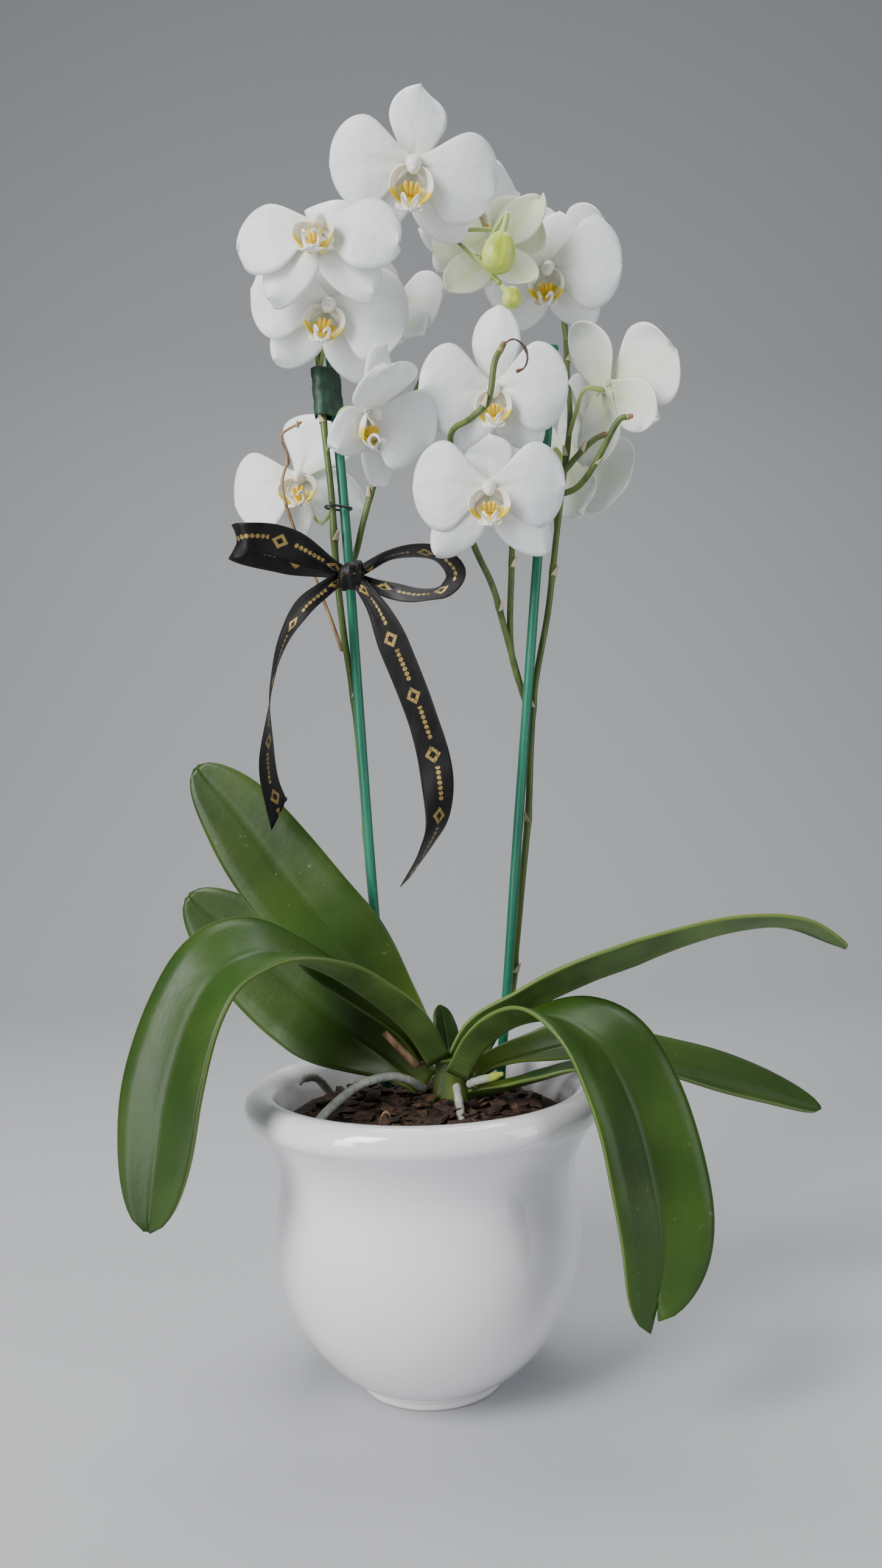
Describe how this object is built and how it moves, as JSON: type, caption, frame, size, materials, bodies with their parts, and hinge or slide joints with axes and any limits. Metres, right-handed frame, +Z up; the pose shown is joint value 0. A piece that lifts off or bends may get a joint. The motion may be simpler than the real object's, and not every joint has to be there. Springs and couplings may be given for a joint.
{
  "type": "potted orchid",
  "caption": "Moth orchid in a flared glazed pot: strap leaves, aerial roots, two staked spikes of open white flowers with green buds, and a dark ribbon bow.",
  "frame": {"origin": "middle of the pot's flat base, on the surface it stands on", "axes": "+Z up along the pot's axis; the front of the flowers and the bow faces -Y; +X to the right seen from the front"},
  "size_m": [0.3428, 0.1787, 0.6241],
  "materials": {
    "glazed_pot": "gloss",
    "bark": "matte",
    "leaf_base": "satin",
    "aerial_root": "matte",
    "leaf": "satin",
    "stake": "satin",
    "spike": "satin",
    "dry_stem": "matte",
    "tepal": "satin",
    "lip": "satin",
    "bud": "satin",
    "wire_tie": "satin",
    "tape": "matte",
    "ribbon": "satin"
  },
  "bodies": {
    "root": {"pot": "glazed_pot", "bark_mix": "bark", "crown": "leaf_base", "aerial_root_arching": "aerial_root", "aerial_root_front": "aerial_root", "aerial_root_tip": "aerial_root", "aerial_root_left": "aerial_root", "leaf_left_arching": "leaf", "leaf_left_upright": "leaf", "leaf_left_back": "leaf", "leaf_young": "leaf", "leaf_right_arching": "leaf", "leaf_right_drooping": "leaf", "leaf_right_back": "leaf", "leaf_right_low": "leaf", "stake_left": "stake", "stake_right": "stake", "spike_left": "spike", "spike_right": "spike", "dry_branch": "dry_stem", "old_spike_stub": "dry_stem", "flower_01_tepals": "tepal", "flower_01_lip": "lip", "flower_02_tepals": "tepal", "flower_02_lip": "lip", "flower_03_tepals": "tepal", "flower_03_lip": "lip", "flower_04_tepals": "tepal", "flower_04_lip": "lip", "flower_05_tepals": "tepal", "flower_05_lip": "lip", "flower_06_tepals": "tepal", "flower_06_lip": "lip", "flower_07_tepals": "tepal", "flower_07_lip": "lip", "flower_08_tepals": "tepal", "flower_08_lip": "lip", "flower_09_tepals": "tepal", "flower_09_lip": "lip", "flower_10_tepals": "tepal", "flower_10_lip": "lip", "flower_11_tepals": "tepal", "flower_11_lip": "lip", "flower_12_tepals": "tepal", "flower_12_lip": "lip", "flower_13_tepals": "tepal", "flower_13_lip": "lip", "flower_14_tepals": "tepal", "flower_14_lip": "lip", "bud_large": "bud", "bud_small": "bud", "wire_tie_left": "wire_tie", "wire_tie_right": "wire_tie", "tape_wrap": "tape", "ribbon_loop_left": "ribbon", "ribbon_loop_right": "ribbon", "ribbon_tail_left": "ribbon", "ribbon_tail_right": "ribbon", "ribbon_knot": "ribbon"}
  },
  "joints": []
}
